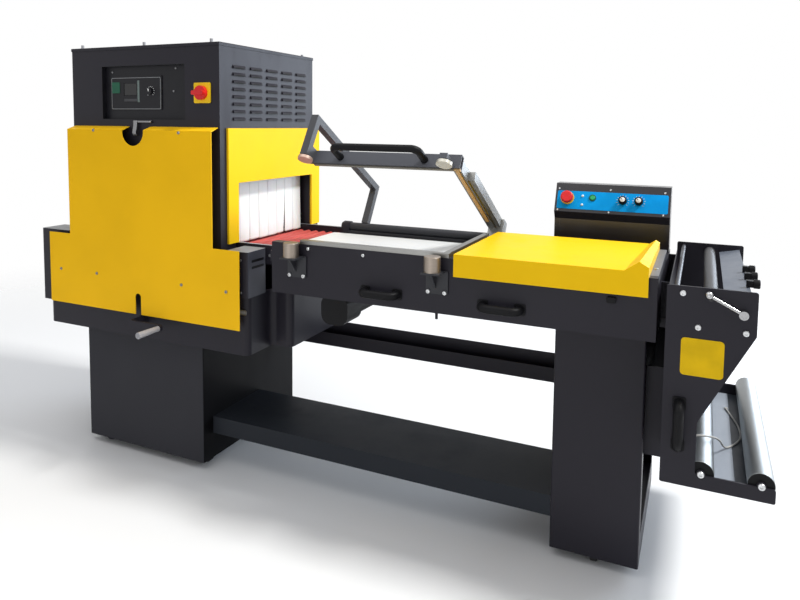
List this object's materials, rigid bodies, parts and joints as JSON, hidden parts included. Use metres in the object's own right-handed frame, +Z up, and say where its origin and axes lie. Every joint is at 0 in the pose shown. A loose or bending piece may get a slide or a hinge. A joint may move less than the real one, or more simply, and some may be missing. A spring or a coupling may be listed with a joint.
{
  "type": "l bar sealer",
  "caption": "L-bar sealer on a pedestal frame with a raised sealing arm, belt, loading tray, film unwinder and control console, joined to a shrink tunnel with a yellow front cover.",
  "frame": {"origin": "on the floor, under the middle of the machine's box", "axes": "+X from the tunnel towards the film unwinder, +Y from the operator's side to the rear, +Z up"},
  "size_m": [2.41, 0.7598, 1.478],
  "materials": {
    "dark_paint": "satin powder coat",
    "yellow_paint": "satin powder coat",
    "grey_paint": "satin powder coat",
    "bare_steel": "brushed",
    "roller_tube": "drawn tube",
    "plated": "polished",
    "belt_white": "smooth coated belt",
    "curtain_white": "soft strip",
    "red_silicone": "smooth sleeve",
    "black_plastic": "moulded",
    "red_plastic": "moulded",
    "green_plastic": "moulded",
    "yellow_plastic": "moulded",
    "blue_overlay": "printed film",
    "cord_grey": "smooth sheath"
  },
  "bodies": {
    "frame": {"left_pedestal": "dark_paint", "right_pedestal": "dark_paint", "lower_shelf": "dark_paint", "cable_duct": "dark_paint", "tunnel_base": "dark_paint", "tunnel_chamber": "dark_paint", "control_cabinet": "dark_paint", "cabinet_lid": "dark_paint", "control_panel": "black_plastic", "front_cover": "yellow_paint", "tunnel_hoods": "yellow_paint", "tunnel_curtains": "curtain_white", "tunnel_rails": "dark_paint", "tunnel_rollers": "red_silicone", "fan_motor": "dark_paint", "heater_elements": "bare_steel", "switch_collars": "yellow_plastic", "front_apron": "dark_paint", "table_frame": "dark_paint", "conveyor_belt": "belt_white", "belt_gearmotor": "dark_paint", "lower_jaws": "bare_steel", "hold_down_magnets": "bare_steel", "magnet_brackets": "dark_paint", "arm_bearings": "dark_paint", "pull_handles": "black_plastic", "loading_tray": "yellow_paint", "console_housing": "dark_paint", "console_panel": "blue_overlay", "unwinder_side_plates": "dark_paint", "unwinder_frame": "dark_paint", "film_perforators": "black_plastic", "brake_cord": "cord_grey"},
    "sealing_arm": {"arm_portal": "grey_paint", "arm_front_bar": "grey_paint", "arm_side_bar": "grey_paint", "arm_handle": "black_plastic", "seal_blades": "bare_steel", "armature_discs": "bare_steel"},
    "main_switch": {"main_switch_knob": "red_plastic"},
    "estop": {"estop_button": "red_plastic"},
    "start": {"start_button": "green_plastic"},
    "seal_time": {"seal_time_knob": "black_plastic"},
    "tunnel_speed": {"tunnel_speed_knob": "black_plastic"},
    "crank": {"height_crank": "bare_steel"},
    "fan": {"fan_impeller": "bare_steel"},
    "belt_drive": {"belt_drive_roller": "roller_tube"},
    "belt_idler": {"belt_idler_roller": "roller_tube"},
    "cradle_inner": {"cradle_roller_inner": "roller_tube"},
    "cradle_outer": {"cradle_roller_outer": "roller_tube"},
    "film_guide": {"film_roller": "roller_tube"},
    "lever": {"clamp_lever": "plated"},
    "swivel_left_front": {"caster_fork_left_front": "bare_steel"},
    "wheel_left_front": {"caster_wheel_left_front": "black_plastic"},
    "swivel_left_rear": {"caster_fork_left_rear": "bare_steel"},
    "wheel_left_rear": {"caster_wheel_left_rear": "black_plastic"},
    "swivel_right_front": {"caster_fork_right_front": "bare_steel"},
    "wheel_right_front": {"caster_wheel_right_front": "black_plastic"},
    "swivel_right_rear": {"caster_fork_right_rear": "bare_steel"},
    "wheel_right_rear": {"caster_wheel_right_rear": "black_plastic"}
  },
  "joints": [
    {"name": "arm_close", "type": "hinge", "parent": "frame", "child": "sealing_arm", "pos_m": [0.175, 0.17195, 0.839], "axis": [1, 0, 0], "range_deg": [0, 30.7], "stiffness_Nm_per_rad": 30, "springref_deg": -68.75},
    {"name": "main_switch_turn", "type": "hinge", "parent": "frame", "child": "main_switch", "pos_m": [-0.458, -0.22905, 1.304], "axis": [0, -1, 0], "range_deg": [-90, 0]},
    {"name": "estop_press", "type": "slide", "parent": "frame", "child": "estop", "axis": [0, 0.9228, -0.3853], "range_m": [0, 0.004]},
    {"name": "start_press", "type": "slide", "parent": "frame", "child": "start", "axis": [0, 0.9228, -0.3853], "range_m": [0, 0.003], "stiffness_N_per_m": 800, "springref_m": -0.002},
    {"name": "seal_time_turn", "type": "hinge", "parent": "frame", "child": "seal_time", "pos_m": [0.794, 0.30467, 0.96945], "axis": [0, -0.9228, 0.3853], "range_deg": [-135, 135]},
    {"name": "tunnel_speed_turn", "type": "hinge", "parent": "frame", "child": "tunnel_speed", "pos_m": [0.843, 0.30467, 0.96945], "axis": [0, -0.9228, 0.3853], "range_deg": [-135, 135]},
    {"name": "crank_turn", "type": "hinge", "parent": "frame", "child": "crank", "pos_m": [-0.728, -0.22905, 0.522], "axis": [0, -1, 0], "continuous": true},
    {"name": "fan_spin", "type": "hinge", "parent": "frame", "child": "fan", "pos_m": [-0.719, 0.07195, 1.193], "axis": [0, 0, 1], "continuous": true},
    {"name": "belt_drive_spin", "type": "hinge", "parent": "frame", "child": "belt_drive", "pos_m": [-0.1776, -0.21505, 0.7896], "axis": [0, 1, 0], "continuous": true},
    {"name": "belt_idler_spin", "type": "hinge", "parent": "frame", "child": "belt_idler", "pos_m": [0.3536, -0.21505, 0.7896], "axis": [0, 1, 0], "continuous": true},
    {"name": "cradle_inner_spin", "type": "hinge", "parent": "frame", "child": "cradle_inner", "pos_m": [1.05, -0.28705, 0.399], "axis": [0, 1, 0], "continuous": true},
    {"name": "cradle_outer_spin", "type": "hinge", "parent": "frame", "child": "cradle_outer", "pos_m": [1.176, -0.28705, 0.399], "axis": [0, 1, 0], "continuous": true},
    {"name": "film_roller_spin", "type": "hinge", "parent": "frame", "child": "film_guide", "pos_m": [1.055, -0.28705, 0.816], "axis": [0, 1, 0], "continuous": true},
    {"name": "lever_turn", "type": "hinge", "parent": "frame", "child": "lever", "pos_m": [1.122, -0.28705, 0.792], "axis": [0, 1, 0], "range_deg": [-45, 45]},
    {"name": "swivel_left_front_turn", "type": "hinge", "parent": "frame", "child": "swivel_left_front", "pos_m": [-0.57, -0.12505, 0.082], "axis": [0, 0, 1], "continuous": true},
    {"name": "wheel_left_front_roll", "type": "hinge", "parent": "swivel_left_front", "child": "wheel_left_front", "pos_m": [-0.55, -0.12505, 0.03], "axis": [0, 1, 0], "continuous": true},
    {"name": "swivel_left_rear_turn", "type": "hinge", "parent": "frame", "child": "swivel_left_rear", "pos_m": [-0.57, 0.31295, 0.082], "axis": [0, 0, 1], "continuous": true},
    {"name": "wheel_left_rear_roll", "type": "hinge", "parent": "swivel_left_rear", "child": "wheel_left_rear", "pos_m": [-0.55, 0.31295, 0.03], "axis": [0, 1, 0], "continuous": true},
    {"name": "swivel_right_front_turn", "type": "hinge", "parent": "frame", "child": "swivel_right_front", "pos_m": [0.7925, -0.07505, 0.082], "axis": [0, 0, 1], "continuous": true},
    {"name": "wheel_right_front_roll", "type": "hinge", "parent": "swivel_right_front", "child": "wheel_right_front", "pos_m": [0.7925, -0.09505, 0.03], "axis": [1, 0, 0], "continuous": true},
    {"name": "swivel_right_rear_turn", "type": "hinge", "parent": "frame", "child": "swivel_right_rear", "pos_m": [0.7925, 0.31295, 0.082], "axis": [0, 0, 1], "continuous": true},
    {"name": "wheel_right_rear_roll", "type": "hinge", "parent": "swivel_right_rear", "child": "wheel_right_rear", "pos_m": [0.7925, 0.33295, 0.03], "axis": [-1, 0, 0], "continuous": true}
  ],
  "couplings": [
    {"joint": "belt_idler_spin", "follows": "belt_drive_spin", "ratio": 1}
  ]
}
